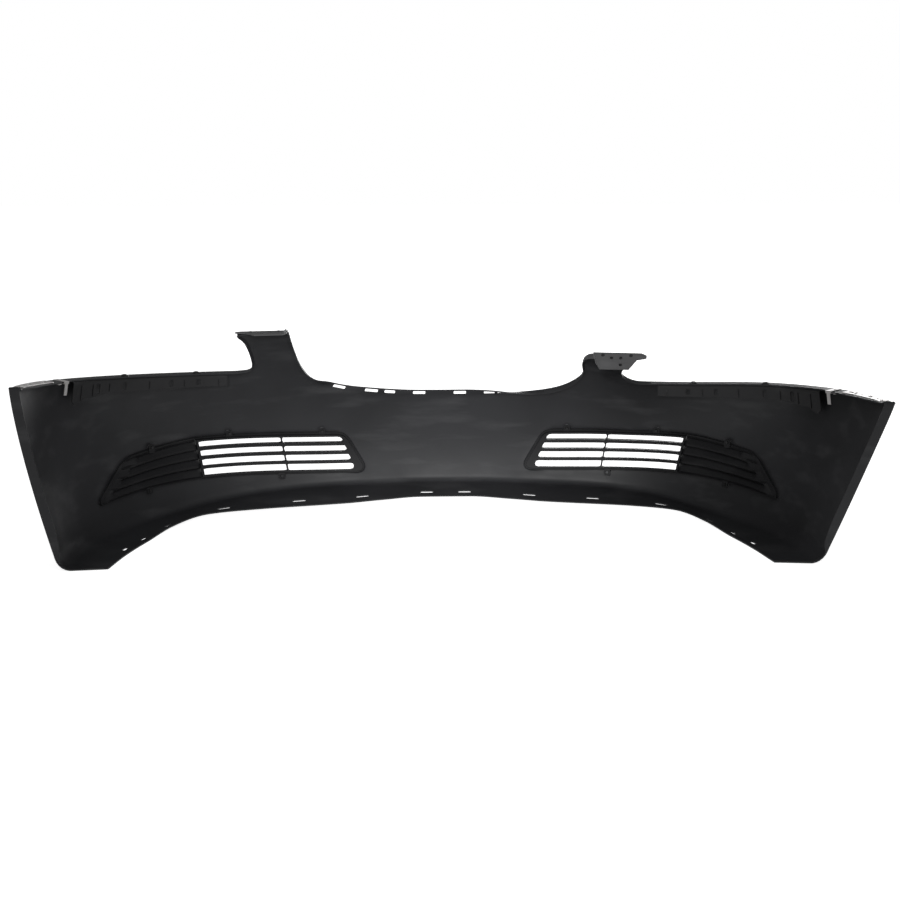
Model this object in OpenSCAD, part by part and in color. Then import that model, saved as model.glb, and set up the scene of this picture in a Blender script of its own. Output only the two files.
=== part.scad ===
// Front bumper cover for a large saloon: a thin moulded skin with its lower grilles, blanking
// louvres, edge brackets and retainers. Vehicle axes: +X right, +Y forward, +Z up.
// The skin is a family of plan curves, one superellipse for each height.

/* [Skin] */
// Half of the overall width, at the top of the wings
half_width = 920; // [900:5:940]
// Fore-and-aft length from the wing tips to the nose
depth = 720; // [700:5:740]
// Wall thickness of the moulding
wall = 3; // [2.6:0.1:3.4]
// Squareness of the plan curve, where 2 is an ellipse
plan_power = 2.9; // [2.7:0.1:3.1]
// Height of the wing tips
wing_top = 420; // [410:2:430]
// Height of the top of the grille horns
horn_top = 456; // [450:1:462]
// How far each wing leans inwards between its top and its chin
wing_tuck = 70; // [60:2:80]

/* [Free state] */
// Backward lean of the left horn tip, in degrees, as the unsupported skin stands
left_horn_lean = 0; // [0:2:20]
// Backward lean of the right horn tip
right_horn_lean = 40; // [20:2:44]
// How far the right horn is drawn towards the middle
right_horn_twist = 47; // [30:1:48]
// How far the right wing's tip sags
right_wing_sag = 44; // [0:2:46]
// How much more its edge sags beside the horn
right_root_sag = 14; // [0:1:16]
// How far the right half's face lifts around its lower grille
right_face_lift = 3; // [0:0.5:4]
// Sideways shift of the wings' lower edges
sway = 24; // [0:2:26]

/* [Lower grilles] */
// Height of one air slot
slot_height = 16; // [15:0.5:17]
// Height of one slat
slat_height = 7.4; // [6.4:0.2:8]
// Fore-and-aft depth of a slat
slat_depth = 16; // [14:1:18]

/* [Hidden] */
$fn = 32;

rear_line = -depth / 2;
chin_height = 75;
waist = 130;
rake = 0.0019;
undercut = 0.0015;
top_slope = 0.12;
arch_rake = 110;
horn_bend = 350;
columns = 60;
panel_columns = 15;
belly_rows = 1;
arc_rows = 4;
band_rows = 6;
panel_rows = 3;
low_rows = belly_rows + arc_rows + band_rows;
all_rows = low_rows + panel_rows;

skin_colour = [0.13, 0.13, 0.14];
grille_colour = [0.1, 0.1, 0.11];
bracket_colour = [0.2, 0.2, 0.21];
zinc_colour = [0.75, 0.76, 0.78];

function mix(a, b, t) = a + (b - a) * t;
function clip(t) = min(1, max(0, t));
function ease(t) = let (c = clip(t)) c * c * (3 - 2 * c);
function unit(v) = v / norm(v);

// A smooth curve through the points p, with n steps between two of them
function spline(p, n) = concat(
    [for (s = [0:len(p) - 2], k = [0:n - 1]) let (
            a = p[max(0, s - 1)], b = p[s], c = p[s + 1], d = p[min(len(p) - 1, s + 2)],
            t = k / n
        )
        0.5 * (2 * b + (c - a) * t + (2 * a - 5 * b + 4 * c - d) * t * t
            + (3 * b - a - 3 * c + d) * t * t * t)],
    [p[len(p) - 1]]
);

// ---- The outer surface ----

// Half width and nose distance of the plan curve at height z
function level_width(z) =
    half_width - wing_tuck * pow(max(0, wing_top - z) / (wing_top - chin_height), 1.25);
function level_nose(z) =
    depth - (z > waist ? rake : undercut) * pow(z - waist, 2);
// How far forward of the rear line the wheel arch edge is at height z
function arch_edge(z) = arch_rake * pow(max(0, wing_top - z) / wing_top, 1.2);
function end_angle(z) = let (y = arch_edge(z), a = level_width(z))
    atan2(a * pow(1 - pow(y / level_nose(z), plan_power), 1 / plan_power), y);

// The unsupported skin is not quite symmetric. A horn leans back and twists more with its
// height above the root; the lower edges of the wings shift sideways; the right wing sags.
twist_start = 325;
twist_rise = 65;
function leaned(p) = let (
        h = p[2] - horn_bend, beside = ease((560 - abs(p[0])) / 60),
        a = ease(h / (horn_top - horn_bend)) * beside * (p[0] < 0 ? left_horn_lean : right_horn_lean),
        twist = p[0] < 0 ? 0 : ease((p[2] - twist_start) / twist_rise) * beside * right_horn_twist
            * mix(0.57, 1, clip((p[0] - 380) / 90))
    )
    [p[0] - twist, p[1] - max(0, h) * sin(a), min(p[2], horn_bend) + max(0, h) * cos(a)];
function settled(p) = let (
        k = ease((abs(p[0]) - 400) / 320), f = p[2] / wing_top,
        horn = ease((p[2] - horn_bend) / (horn_top - horn_bend)) * ease((560 - p[0]) / 60),
        wing = ease((p[0] - 330) / 150) * (right_wing_sag + right_root_sag * ease((780 - p[0]) / 250)),
        lift = right_face_lift * ease((p[0] - 60) / 140) * ease((840 - p[0]) / 120)
            * ease((p[2] - 50) / 30) * ease((270 - p[2]) / 90),
        sag = p[0] < 0 ? 0 : mix(wing, 0.3 * right_wing_sag, horn) * pow(f, 3.4) - lift
    )
    leaned(p) - [sway * k * (1 - clip(f)), 0, sag];

// A point of the surface by column u, from -1 at the left wing's end to 1, or by x in the front
function upright(u, z) = let (
        t = u * end_angle(z),
        r = 1 / pow(pow(abs(sin(t)) / level_width(z), plan_power)
            + pow(cos(t) / level_nose(z), plan_power), 1 / plan_power)
    ) [r * sin(t), r * cos(t) + rear_line, z];
function plan_y(x, z) = level_nose(z)
    * pow(max(0, 1 - pow(abs(x) / level_width(z), plan_power)), 1 / plan_power);
function u_at(x, z) = atan2(x, plan_y(x, z)) / end_angle(z);
function face(u, z) = settled(upright(u, z));
function front(x, z) = settled([x, rear_line + plan_y(x, z), z]);
function inward(p) = -unit([
    sign(p[0]) * pow(abs(p[0]) / level_width(p[2]), plan_power - 1) / level_width(p[2]),
    pow((p[1] - rear_line) / level_nose(p[2]), plan_power - 1) / level_nose(p[2]), 0
]);

// Top edge of the skin beside the headlamps, a line that climbs towards the rear
function shelf(u) = wing_top - top_slope * (upright(u, 380)[1] - rear_line);
function shelf_at(x) = wing_top - top_slope * plan_y(x, 380);

// Inner edge of the underside: plan angle, x, y and height
belly_edge = [
    [0, 0, 252, 35], [5, 62, 251, 35], [12, 150, 232, 33], [19, 240, 211, 30], [24, 300, 204, 28],
    [34, 440, 190, 23], [42, 558, 168, 16], [50, 622, 100, 6], [60, 665, -20, 0],
    [74, 700, -145, 0], [84, 722, -250, 0], [90, 724, -254, 0]
];
function edge_at(t, i = 0) = t <= belly_edge[i + 1][0] || i == len(belly_edge) - 2
    ? let (a = belly_edge[i], b = belly_edge[i + 1], k = (t - a[0]) / (b[0] - a[0]))
        [for (c = [1:3]) mix(a[c], b[c], k)]
    : edge_at(t, i + 1);
function belly(u) = let (p = edge_at(abs(u) * end_angle(chin_height)))
    [sign(u) * p[0], p[1], p[2]];

// The rounded chin runs from the face down to the underside
chin_end = 84;
function chin_radius(u) = mix(20, 40, ease((abs(u) - 0.35) / 0.45));
function belly_rise(u) = mix(13, 0, ease((abs(u) - 0.3) / 0.4));
function wall_slope(u, z) = let (p = upright(u, z))
    atan(-(upright(u, z + 4) - p) * inward(p) / 4);
function chin_start(u) = belly(u)[2] + belly_rise(u)
    + chin_radius(u) * (sin(chin_end) - sin(wall_slope(u, chin_height)));
function chin(u, k) = let (
        z = chin_start(u), p = upright(u, z), n = inward(p), r = chin_radius(u),
        start = wall_slope(u, z), a = mix(start, chin_end, k),
        q = p + r * (cos(start) - cos(a)) * n
    ) [q[0], q[1], k == 1 ? belly(u)[2] + belly_rise(u) : z - r * (sin(a) - sin(start))];
function under(u, k) = settled(mix(belly(u), chin(u, 1), k));

// One column of the skin, from the inner edge of the underside up to the horn's top
function column(u) = concat(
    [for (k = [0:belly_rows - 1]) under(u, k / belly_rows)],
    [for (k = [0:arc_rows - 1]) settled(chin(u, 1 - k / arc_rows))],
    [for (k = [0:band_rows]) face(u, mix(chin_start(u), shelf(u), k / band_rows))],
    [for (k = [1:panel_rows]) face(u, mix(shelf(u), horn_top, k / panel_rows))]
);

// ---- Sheets: a grid of points made into a closed shell ----

function grid_normal(g, i, j) = let (m = len(g) - 1, n = len(g[0]) - 1)
    unit(cross(g[min(m, i + 1)][j] - g[max(0, i - 1)][j],
        g[i][min(n, j + 1)] - g[i][max(0, j - 1)]));

// g[i][j] is a grid of points, t the thickness along its normal, and open(i, j) is true for a
// cell that is left out
module sheet(g, t, open = function(i, j) false) {
    m = len(g) - 1;
    w = len(g[0]);
    n = len(g) * w;
    function at(i, j) = i * w + j;
    function kept(i, j) = i >= 0 && i < m && j >= 0 && j < w - 1 && !open(i, j);
    near = [for (i = [0:m], j = [0:w - 1]) g[i][j]];
    far = [for (i = [0:m], j = [0:w - 1]) g[i][j] + t * grid_normal(g, i, j)];
    faces = [for (i = [0:m - 1], j = [0:w - 2]) if (kept(i, j)) let (
            a = at(i, j), b = at(i + 1, j), d = at(i, j + 1), e = at(i + 1, j + 1)
        ) each concat(
            [[a, b, e], [a, e, d], [a + n, e + n, b + n], [a + n, d + n, e + n]],
            kept(i, j - 1) ? [] : [[a, b + n, b], [a, a + n, b + n]],
            kept(i, j + 1) ? [] : [[e, d + n, d], [e, e + n, d + n]],
            kept(i - 1, j) ? [] : [[d, a + n, a], [d, d + n, a + n]],
            kept(i + 1, j) ? [] : [[b, e + n, e], [b, b + n, e + n]]
        )];
    polyhedron(concat(near, far), [for (f = faces) t > 0 ? f : [f[0], f[2], f[1]]]);
}

// ---- Frames and lips on the surface ----

function front_normal(x, z) = unit(cross(front(x + 1, z) - front(x - 1, z),
    front(x, z + 1) - front(x, z - 1)));
function face_normal(u, z) = let (v = u * 0.997) unit(cross(face(v + 0.002, z) - face(v - 0.002, z),
    face(v, z + 1) - face(v, z - 1)));

// The same direction, but dipping by a given angle
function dipping(n, angle) = let (h = unit([n[0], n[1], 0])) [cos(angle) * h[0], cos(angle) * h[1], -sin(angle)];
shelf_dip = 6;
function shelf_normal(u) = dipping(face_normal(u, shelf(u)), shelf_dip);
function horn_normal(x) = dipping(front_normal(x, horn_top),
    x < 0 ? left_horn_lean + 3 : right_horn_lean + 10);

// Puts its children at p, with their X along x and their Z as near z as is square to it
module placed(p, x, z) {
    a = unit(x);
    b = unit(cross(z, a));
    c = cross(a, b);
    multmatrix([[a[0], b[0], c[0], p[0]], [a[1], b[1], c[1], p[1]], [a[2], b[2], c[2], p[2]]])
        children();
}
// On the face at x, z: X runs to the right, Y up and Z into the cover
module on_front(x, z) {
    placed(front(x, z), front(x + 1, z) - front(x - 1, z), front_normal(x, z)) children();
}

// A line on the surface is a list of [point, normal]; the way out of its edge is to the left
// of the line seen from outside, or to the right where side is -1
function tangent(line, i) =
    unit(line[min(len(line) - 1, i + 1)][0] - line[max(0, i - 1)][0]);
function outward(line, i, side) = side * unit(cross(line[i][1], tangent(line, i)));
function lip_way(line, i, side, angle) =
    cos(angle) * line[i][1] + sin(angle) * outward(line, i, side);

// A lip grows from the line into the cover, tilted outwards from its edge by angle(i), from
// depth first(i) to last(i); it lies a small step inside the edge
step = 0.85;
module lip(line, side, angle, first, last, t) {
    sheet([for (i = [0:len(line) - 1]) let (
            n = line[i][1], w = lip_way(line, i, side, angle(i)), a = first(i),
            p = line[i][0] - step * outward(line, i, side)
        ) [p + (a < 2 ? a * n : a * w), p + last(i) * w]], side * t);
}

// ---- Outlines, as x and height in the front view of the right half ----

// Edge of the radiator grille opening, from the centre up the horn's inner side
grille_edge = [
    [0, 273], [90, 274], [170, 280], [245, 290], [292, 305], [326, 331], [347, 370],
    [359, 415], [367, horn_top]
];
// Outer side of the horn, from its foot at the headlamp shelf up to its top
horn_foot = 478;
horn_side = [
    [horn_foot, shelf_at(horn_foot) - 0.3], [462, 356], [454, 370], [455, 392], [461, 420],
    [469, 440], [484, horn_top]
];

// Bounds of the lower grille: slanted ends, and a top and bottom that drop towards the corner
grille_low = 84;
pitch = slot_height + slat_height;
grille_high = grille_low + 4 * slot_height + 3 * slat_height;
frame = 5;
inner_frame = 18;
fit_gap = 1;
function level(z) = (z - grille_low) / (grille_high - grille_low);
function droop(x, z) = -6 * ease((x - 250) / 300) + 16 * pow(max(0, x - 575) / 210, 1.6)
    + 14 * level(z) * pow(clip((x - 590) / 150), 1.3);
function grille_inner(z) = mix(220, 254, level(z));
function grille_split(z) = mix(575, 590, level(z));
function grille_rib(z) = mix(385, 401, level(z));

function outer_end(z) = mix(782, 744, level(z));

// The opening in the skin clears the grille's frame by a small gap
opening_outline = let (
        low = grille_low - frame - fit_gap, high = grille_high + frame + fit_gap, n = 9
    ) concat(
        [for (k = [0:n]) let (x = mix(222, outer_end(low) + 1, k / n)) [x, low - droop(x, low)]],
        [for (k = [0:n]) let (x = mix(outer_end(high) + 1, 262, k / n)) [x, high - droop(x, high)]],
        [[250, high - 2], [240, high - 8], [230, high - 22], [201, low + 18], [200, low + 9],
            [205, low + 3], [212, low + 0.5]]
    );

// ---- The moulded skin ----

module skin_blank() {
    sheet([for (i = [0:columns]) column(2 * i / columns - 1)], wall,
        function(i, j) j >= low_rows && abs(i + 0.5 - columns / 2) > panel_columns);
}

over = horn_top + 5;
function inner_part(list) = [for (i = [0:len(list) - 2]) list[i]];

// A cut through the front of the skin along Y, of points in the front view; those above the
// horn's top are taken straight up
module front_cut(s, points) {
    translate([0, 420, 0]) rotate([90, 0, 0]) linear_extrude(480)
        polygon([for (p = points) let (q = front(s * p[0], min(over, p[1])))
            [q[0], q[2] + max(0, p[1] - over)]]);
}
module grille_cut(s) {
    front_cut(s, concat([[-s * 2, 620], [-s * 2, 273]], inner_part(grille_stations),
        [[367.6, over], [367.6, 620]]));
}
module headlamp_cut(s) {
    front_cut(s, concat(
        [for (x = [600, 560, 530, 500]) [x, shelf_at(x) - 0.3]],
        inner_part(spline(horn_side, 2)), [[485, over], [485, 620], [600, 620]]
    ));
}

// Lines of [point, normal] along the skin's edges
function front_line(s, points) =
    [for (p = points) [front(s * p[0], p[1]), front_normal(s * p[0], p[1])]];
shelf_steps = 26;
function shelf_u(k) = mix(u_at(horn_foot, 380), 1, k / shelf_steps);
function shelf_line(s) = [for (k = [0:shelf_steps]) let (u = s * shelf_u(k))
    [face(u, shelf(u)), shelf_normal(u)]];
arch_steps = 10;
function arch_line(s) = [for (k = [0:arch_steps]) let (
        z = mix(wing_top - 6, chin_start(1) - 6, k / arch_steps)
    ) [face(s, z), face_normal(s, z)]];

grille_stations = spline(grille_edge, 2);
function whole_grille_line() = concat(
    [for (k = [len(grille_stations) - 1:-1:1]) let (p = grille_stations[k])
        [front(-p[0], p[1]), front_normal(-p[0], p[1])]],
    [for (p = grille_stations) [front(p[0], p[1]), front_normal(p[0], p[1])]]
);
// Tilt of the lip along the grille opening; it turns straight back up the horns
lip_tilt = 50;
lip_width = 21;
lip_end = 2 * len(grille_stations) - 2;
lip_up = function(i) ease((min(i, lip_end - i) - 2) / 5);
// Windows in that lip: x of the middle and length
windows = [[49, 34], [121, 25], [160, 32], [239, 30]];
function grille_z(x) = lookup(x, grille_stations);

module window_cut(x, length) {
    z = grille_z(abs(x));
    p = front(x, z);
    n = front_normal(x, z);
    t = unit(front(x + 2, grille_z(abs(x + 2))) - front(x - 2, grille_z(abs(x - 2))));
    b = unit(cross(n, t));
    w = cos(lip_tilt) * n + sin(lip_tilt) * b;
    placed(p + 11.5 * w, t, cross(t, w)) hull() for (d = [-1, 1])
        translate([d * (length / 2 - 3), 0, -7]) {
            translate([0, 3, 0]) cylinder(r = 3, h = 14, $fn = 8);
            translate([0, -3, 0]) cylinder(r = 3, h = 14, $fn = 8);
        }
}
// A slot through the underside: column, how far from its inner edge, length and width
module under_slot(u, k, length, width) {
    p = under(u, k);
    t = under(u + 0.01, k) - under(u - 0.01, k);
    placed(p, [t[0], t[1], 0], [0, 0, 1]) hull() for (d = [-1, 1])
        translate([d * (length - width) / 2, 0, -8]) cylinder(d = width, h = 16, $fn = 10);
}
under_slots = [0.046, 0.19, 0.33, 0.47, 0.61, 0.71, 0.82];

// Screw posts and tabs around a lower grille and its blank: x and height, and which way out
grille_posts = [[300, grille_high + 14, 1], [520, grille_high + 14, 1], [400, grille_low - 14, -1]];
blank_posts = [[690, grille_high + 14, 1], [690, grille_low - 14, -1]];
post_depth = 10;
rim_depth = 7.6;
module on_post(s, q) { on_front(s * q[0], q[1] - droop(q[0], q[1])) children(); }

// Places on the shelf lip, by station: origin on the lip's upper face, Z up, Y out of the cover
module on_shelf(s, k, inset) {
    u = s * mix(u_at(horn_foot, 380), 1, k / shelf_steps);
    du = 0.5 * (1 - u_at(horn_foot, 380)) / shelf_steps;
    a = face(u - s * du, shelf(u - s * du));
    b = face(u + s * du, shelf(u + s * du));
    n = shelf_normal(u);
    t = s * unit(b - a);
    placed((a + b) / 2 + inset * n - step * cross(n, t), t, cross(n, t)) children();
}
shelf_last = function(k) mix(24, 36, ease((k - 15) / 3)) - 10 * ease((k - 22) / 4);
retainer_stations = [3.5, 9.5];
retainer_inset = 13;
rail_first = 18;
rail_rivets = [19.5, 24.5];
rail_bolts = [20.5, 23.5];
rail_inset = 18;
clip_station = 16.5;
clip_inset = 16;

module horn_lip(s) {
    line = [for (x = [-1:0.25:1]) let (q = s * (425 + 56 * x)) [front(q, horn_top), horn_normal(q)]];
    lip(line, s, function(i) 0, function(i) 1.15, function(i) 16, wall);
}
// A horn's plate: X along its top edge, Y forward, Z up from the edge
module on_horn(s) {
    p = front(s * 425, horn_top);
    t = front(s * 425 + 40, horn_top) - front(s * 425 - 40, horn_top);
    n = horn_normal(s * 425);
    placed((p + front(s * 425 - 40, horn_top) / 2 + front(s * 425 + 40, horn_top) / 2) / 2,
        t, cross(n, t)) children();
}
plate_rivets = [[-34, -9], [30, -9]];

module skin() {
    color(skin_colour) difference() {
        union() {
            difference() {
                skin_blank();
                for (s = [-1, 1]) {
                    grille_cut(s);
                    headlamp_cut(s);
                    front_cut(s, opening_outline);
                }
            }
            lip(whole_grille_line(), 1, function(i) mix(4, lip_tilt, lip_up(i)), function(i) 1.15,
                function(i) mix(13, lip_width, lip_up(i)), wall);
            for (s = [-1, 1]) {
                lip(front_line(s, concat(opening_outline, [opening_outline[0]])), s,
                    function(i) -4, function(i) 1.15, function(i) rim_depth, 2.5);
                lip(shelf_line(s), s, function(i) 0, function(i) 1.15, shelf_last, wall);
                lip(front_line(s, spline(horn_side, 2)), -s, function(i) 30 * ease(i / 3),
                    function(i) 1.15, function(i) 13, wall);
                lip(arch_line(s), s, function(i) 0, function(i) 1.15, function(i) 22, wall);
                horn_lip(s);
                for (q = concat(grille_posts, blank_posts)) on_post(s, q)
                    translate([0, 0, 1.5]) cylinder(r = 4.5, h = post_depth - 1.5, $fn = 10);
            }
        }
        for (s = [-1, 1]) {
            for (w = windows) window_cut(s * w[0], w[1]);
            for (u = under_slots)
                under_slot(s * u, u > 0.5 ? 0.2 : 0.3, u > 0.5 ? 26 : 34, u > 0.5 ? 9 : 12);
            for (q = concat(grille_posts, blank_posts)) on_post(s, q)
                translate([0, 0, 3.5]) cylinder(r = 2, h = post_depth, $fn = 12);
            for (k = retainer_stations) on_shelf(s, k, retainer_inset)
                translate([0, 0, -8]) cylinder(r = 4.3, h = 16, $fn = 20);
            for (k = rail_rivets) on_shelf(s, k, rail_inset)
                translate([0, 0, -8]) cylinder(r = 2.1, h = 16, $fn = 12);
            for (k = rail_bolts) on_shelf(s, k, rail_inset)
                translate([0, 0, -8]) cylinder(r = 3.8, h = 16, $fn = 20);
            for (q = plate_rivets) on_horn(s)
                translate([s * q[0], q[1], -8]) cylinder(r = 2.1, h = 16, $fn = 12);
            on_shelf(s, clip_station, clip_inset)
                translate([0, 0, -8]) cylinder(r = 4.3, h = 16, $fn = 16);
        }
        for (x = [-370, -104, 104, 370]) let (u = u_at(x, chin_height), p = under(u, 0))
            translate([p[0], p[1], p[2] - 8]) cylinder(r = 3.5, h = 16, $fn = 12);
    }
}

// ---- Lower grilles and blanks ----

grille_rows = concat([grille_low - frame], [for (r = [0:3]) for (d = [0, slot_height])
    grille_low + r * pitch + d], [grille_high + frame]);
grille_start = 1.2;

// Stations of the grille along its length: inner frame with its corners set back, open field,
// rib, open field, frame
open_steps = 4;
top_corner = 6;
low_corner = 4;
function grille_x(i, z) = i == 0 ? grille_inner(z) - inner_frame
        + top_corner * ease((z - grille_high + 20) / 20) + low_corner * ease((grille_low + 6 - z) / 10)
    : i <= open_steps + 1 ? mix(grille_inner(z), grille_rib(z) - 2, (i - 1) / open_steps)
    : i <= 2 * open_steps + 2 ? mix(grille_rib(z) + 2, grille_split(z), (i - open_steps - 2) / open_steps)
    : grille_split(z) + frame;
// The inner end is a little lower than the rest
function grille_z_at(i, z) = i > 0 ? z
    : mix(grille_low + 44, z, 0.88);

module tab(s, q) {
    on_post(s, q) difference() {
        translate([-8, q[2] > 0 ? -14 : -7, post_depth + 0.1]) cube([16, 21, 2.5]);
        translate([0, 0, post_depth - 1]) cylinder(r = 2.2, h = 6);
    }
}

module lower_grille(s) {
    g = [for (i = [0:2 * open_steps + 3]) [for (z = grille_rows)
        let (x = s * grille_x(i, z), y = grille_z_at(i, z) - droop(abs(x), z))
        front(x, y) + grille_start * front_normal(x, y)]];
    color(grille_colour) {
        sheet(g, s * slat_depth, function(i, j) j % 2 == 1 && i > 0 && i != open_steps + 1
            && i < 2 * open_steps + 2);
        for (q = grille_posts) tab(s, q);
    }
}

// The blank carries the grille's lines on as four closed louvres with a stepped outer end
blank_steps = 7;
blank_ends = [768, 753, 738, 723];
blank_rows = concat([[grille_low - frame, 10, 0]], [for (r = [0:3]) each [
        [grille_low + r * pitch - 1, 14, r], [grille_low + r * pitch + slot_height, 5, r]
    ]], [[grille_high + frame, 10, 3]]);
function blank_x(i, row) = i > blank_steps ? outer_end(row[0])
    : mix(grille_split(row[0]) + frame + 0.8, blank_ends[row[2]], i / blank_steps);

module fog_blank(s) {
    g = [for (i = [0:blank_steps + 1]) [for (row = blank_rows) let (
            x = s * blank_x(i, row), y = row[0] - droop(abs(x), row[0])
        ) front(x, y) + (i > blank_steps ? 10 : row[1]) * front_normal(x, y)]];
    color(grille_colour) {
        sheet(g, s * 2.5);
        for (q = blank_posts) tab(s, q);
    }
}

// Screws through the tabs into the posts
module screw() {
    translate([0, 0, -6.3]) cylinder(r = 1.75, h = 8.92);
    translate([0, 0, 2.62]) cylinder(r1 = 4, r2 = 3, h = 2.2);
}
module screws(s, posts) {
    color(zinc_colour) for (q = posts) on_post(s, q) translate([0, 0, post_depth]) screw();
}

// ---- Headlamp brackets and their retainers ----

// A strip under the shelf lip with a web that hangs at its rear edge, windows in the web and a
// hooked outer end
bracket_first = 1;
bracket_last = 15;
web = 38;
module headlamp_bracket(s) {
    k = [for (i = [bracket_first:bracket_last]) i];
    n = len(k) - 1;
    g = [for (i = [0:n]) let (
            u = s * shelf_u(k[i]), p = face(u, shelf(u)), v = shelf_normal(u),
            down = [0, 0, -1], h = web * mix(0.8, 1, ease(i / 3)) + 14 * ease((i - n + 2) / 2),
            top = p + (wall + step + 0.1) * down
        ) [top + 4.5 * v, top + 25 * v, top + 25 * v + 0.3 * h * down,
            top + 25 * v + 0.75 * h * down, top + 25 * v + h * down]];
    color(bracket_colour) difference() {
        sheet(g, s * 2.5, function(i, j) j == 2 && (i == 2 || i == 5 || i == 10 || i == 12));
        for (q = retainer_stations) on_shelf(s, q, retainer_inset)
            translate([0, 0, -12]) cylinder(r = 4.3, h = 16);
    }
}

// Push-in retainer: a body with a wide head and split legs, and the centre pin that spreads them
module retainer_body(s, k) {
    color(bracket_colour) on_shelf(s, k, retainer_inset) difference() {
        rotate_extrude() polygon([
            [2.15, -11], [3.2, -11], [4, -8], [4, 0.2], [9, 0.2], [9, 1.2], [8, 2.2], [2.15, 2.2]
        ]);
        translate([-0.5, -6, -12]) cube([1, 12, 8]);
        translate([-6, -0.5, -12]) cube([12, 1, 8]);
    }
}
module retainer_pin(s, k) {
    color(skin_colour) on_shelf(s, k, retainer_inset) rotate_extrude() polygon([
        [0, -10], [1.4, -10], [2.1, -8.6], [2.1, 2.25], [5, 2.25], [5, 3.2], [4.2, 3.8], [0, 3.8]
    ]);
}

// ---- Horn plates ----

plate_holes = [[-14, -16], [7, -16], [7, -34]];
plate_gap = 0.35;
module plate_shape(s, h, points) {
    linear_extrude(h) polygon([for (p = points) [s * p[0], p[1]]]);
}
module horn_plate(s) {
    color(bracket_colour) on_horn(s) translate([0, 0, plate_gap]) difference() {
        union() {
            plate_shape(s, 2.5, [[-57, -2], [54, -2], [66, -8], [66, -15], [60, -17], [44, -20],
                [26, -46], [-40, -46], [-50, -30]]);
            plate_shape(s, 6, [[-53, -4], [-50.5, -4], [-40, -42], [-43, -42]]);
        }
        for (q = plate_holes) translate([s * q[0], q[1], -1]) cylinder(r = 4, h = 5);
        for (q = plate_rivets) translate([s * q[0], q[1], -1]) cylinder(r = 2.1, h = 5);
    }
}

// Pop rivet through t of material below its head
module rivet(t) {
    cylinder(r1 = 4.2, r2 = 3.2, h = 1.2);
    translate([0, 0, -t - 1]) cylinder(r = 2, h = t + 1.1);
    translate([0, 0, -t - 2.4]) cylinder(r = 3, h = 1.5);
}
module horn_rivets(s) {
    color(zinc_colour) for (q = plate_rivets) on_horn(s)
        translate([s * q[0], q[1], plate_gap + 2.55]) rivet(wall + plate_gap + 2.5);
}

// ---- Wing rails and corner clips ----

module wing_rail(s) {
    line = shelf_line(s);
    g = [for (k = [rail_first:shelf_steps - 1]) let (
            p = line[k][0], n = line[k][1], up = outward(line, k, s)
        ) [for (w = [6, k > 23 ? 26 : 30]) p + w * n + (0.12 - step) * up]];
    color(zinc_colour) difference() {
        sheet(g, -s * 1.2);
        for (k = rail_rivets) on_shelf(s, k, rail_inset)
            translate([0, 0, -3]) cylinder(r = 2.1, h = 8);
        for (k = rail_bolts) on_shelf(s, k, rail_inset)
            translate([0, 0, -3]) cylinder(r = 3.3, h = 8);
        for (k = [18.8, 22]) on_shelf(s, k, rail_inset) hull() for (d = [-1, 1])
            translate([d * 8, 0, -3]) cylinder(r = 3, h = 8);
    }
}
module rail_rivet_pair(s) {
    color(zinc_colour) for (k = rail_rivets) on_shelf(s, k, rail_inset)
        translate([0, 0, 1.5]) rivet(wall + 1.6);
}

// A folded spring nut over the lip's edge, with a tongue that hangs behind it
module corner_clip(s) {
    color(zinc_colour) on_shelf(s, clip_station, clip_inset) difference() {
        union() {
            translate([-10, -18, 0.2]) cube([20, 28, 1.2]);
            translate([-10, -18, -4.7]) cube([20, 28, 1.2]);
            translate([-10, -19, -4.7]) cube([20, 1.2, 6.1]);
            translate([-6, -19, -30]) cube([12, 1.2, 26]);
            translate([0, 0, -9]) cylinder(r = 5.5, h = 5);
        }
        translate([0, 0, -12]) cylinder(r = 3.3, h = 16);
    }
}

skin();
lower_grille(-1);  // lower_grille_left
lower_grille(1);  // lower_grille_right
fog_blank(-1);  // fog_blank_left
fog_blank(1);  // fog_blank_right
screws(-1, grille_posts);  // grille_screws_left
screws(1, grille_posts);  // grille_screws_right
screws(-1, blank_posts);  // blank_screws_left
screws(1, blank_posts);  // blank_screws_right
headlamp_bracket(-1);  // headlamp_bracket_left
headlamp_bracket(1);  // headlamp_bracket_right
retainer_body(-1, retainer_stations[0]);  // retainer_body_left_inner
retainer_body(-1, retainer_stations[1]);  // retainer_body_left_outer
retainer_body(1, retainer_stations[0]);  // retainer_body_right_inner
retainer_body(1, retainer_stations[1]);  // retainer_body_right_outer
retainer_pin(-1, retainer_stations[0]);  // retainer_pin_left_inner
retainer_pin(-1, retainer_stations[1]);  // retainer_pin_left_outer
retainer_pin(1, retainer_stations[0]);  // retainer_pin_right_inner
retainer_pin(1, retainer_stations[1]);  // retainer_pin_right_outer
horn_plate(-1);  // horn_plate_left
horn_plate(1);  // horn_plate_right
horn_rivets(-1);  // horn_rivets_left
horn_rivets(1);  // horn_rivets_right
wing_rail(-1);  // wing_rail_left
wing_rail(1);  // wing_rail_right
rail_rivet_pair(-1);  // rail_rivets_left
rail_rivet_pair(1);  // rail_rivets_right
corner_clip(-1);  // corner_clip_left
corner_clip(1);  // corner_clip_right
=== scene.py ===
"""Looks of the bumper cover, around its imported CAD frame.

The moulded skin, the lower grilles, the louvred blanks, the headlamp brackets and the wing
rails are rebuilt here as fine meshes from the same surface functions as the CAD part, and
stand for those nodes. Plates, clips, rivets, screws and push retainers are the CAD nodes
themselves, with small edge bevels and new materials. Lengths inside are millimetres.
"""

import math

import bmesh
import bpy
import numpy as np
from mathutils import Matrix, Vector
from mathutils.geometry import delaunay_2d_cdt


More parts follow.
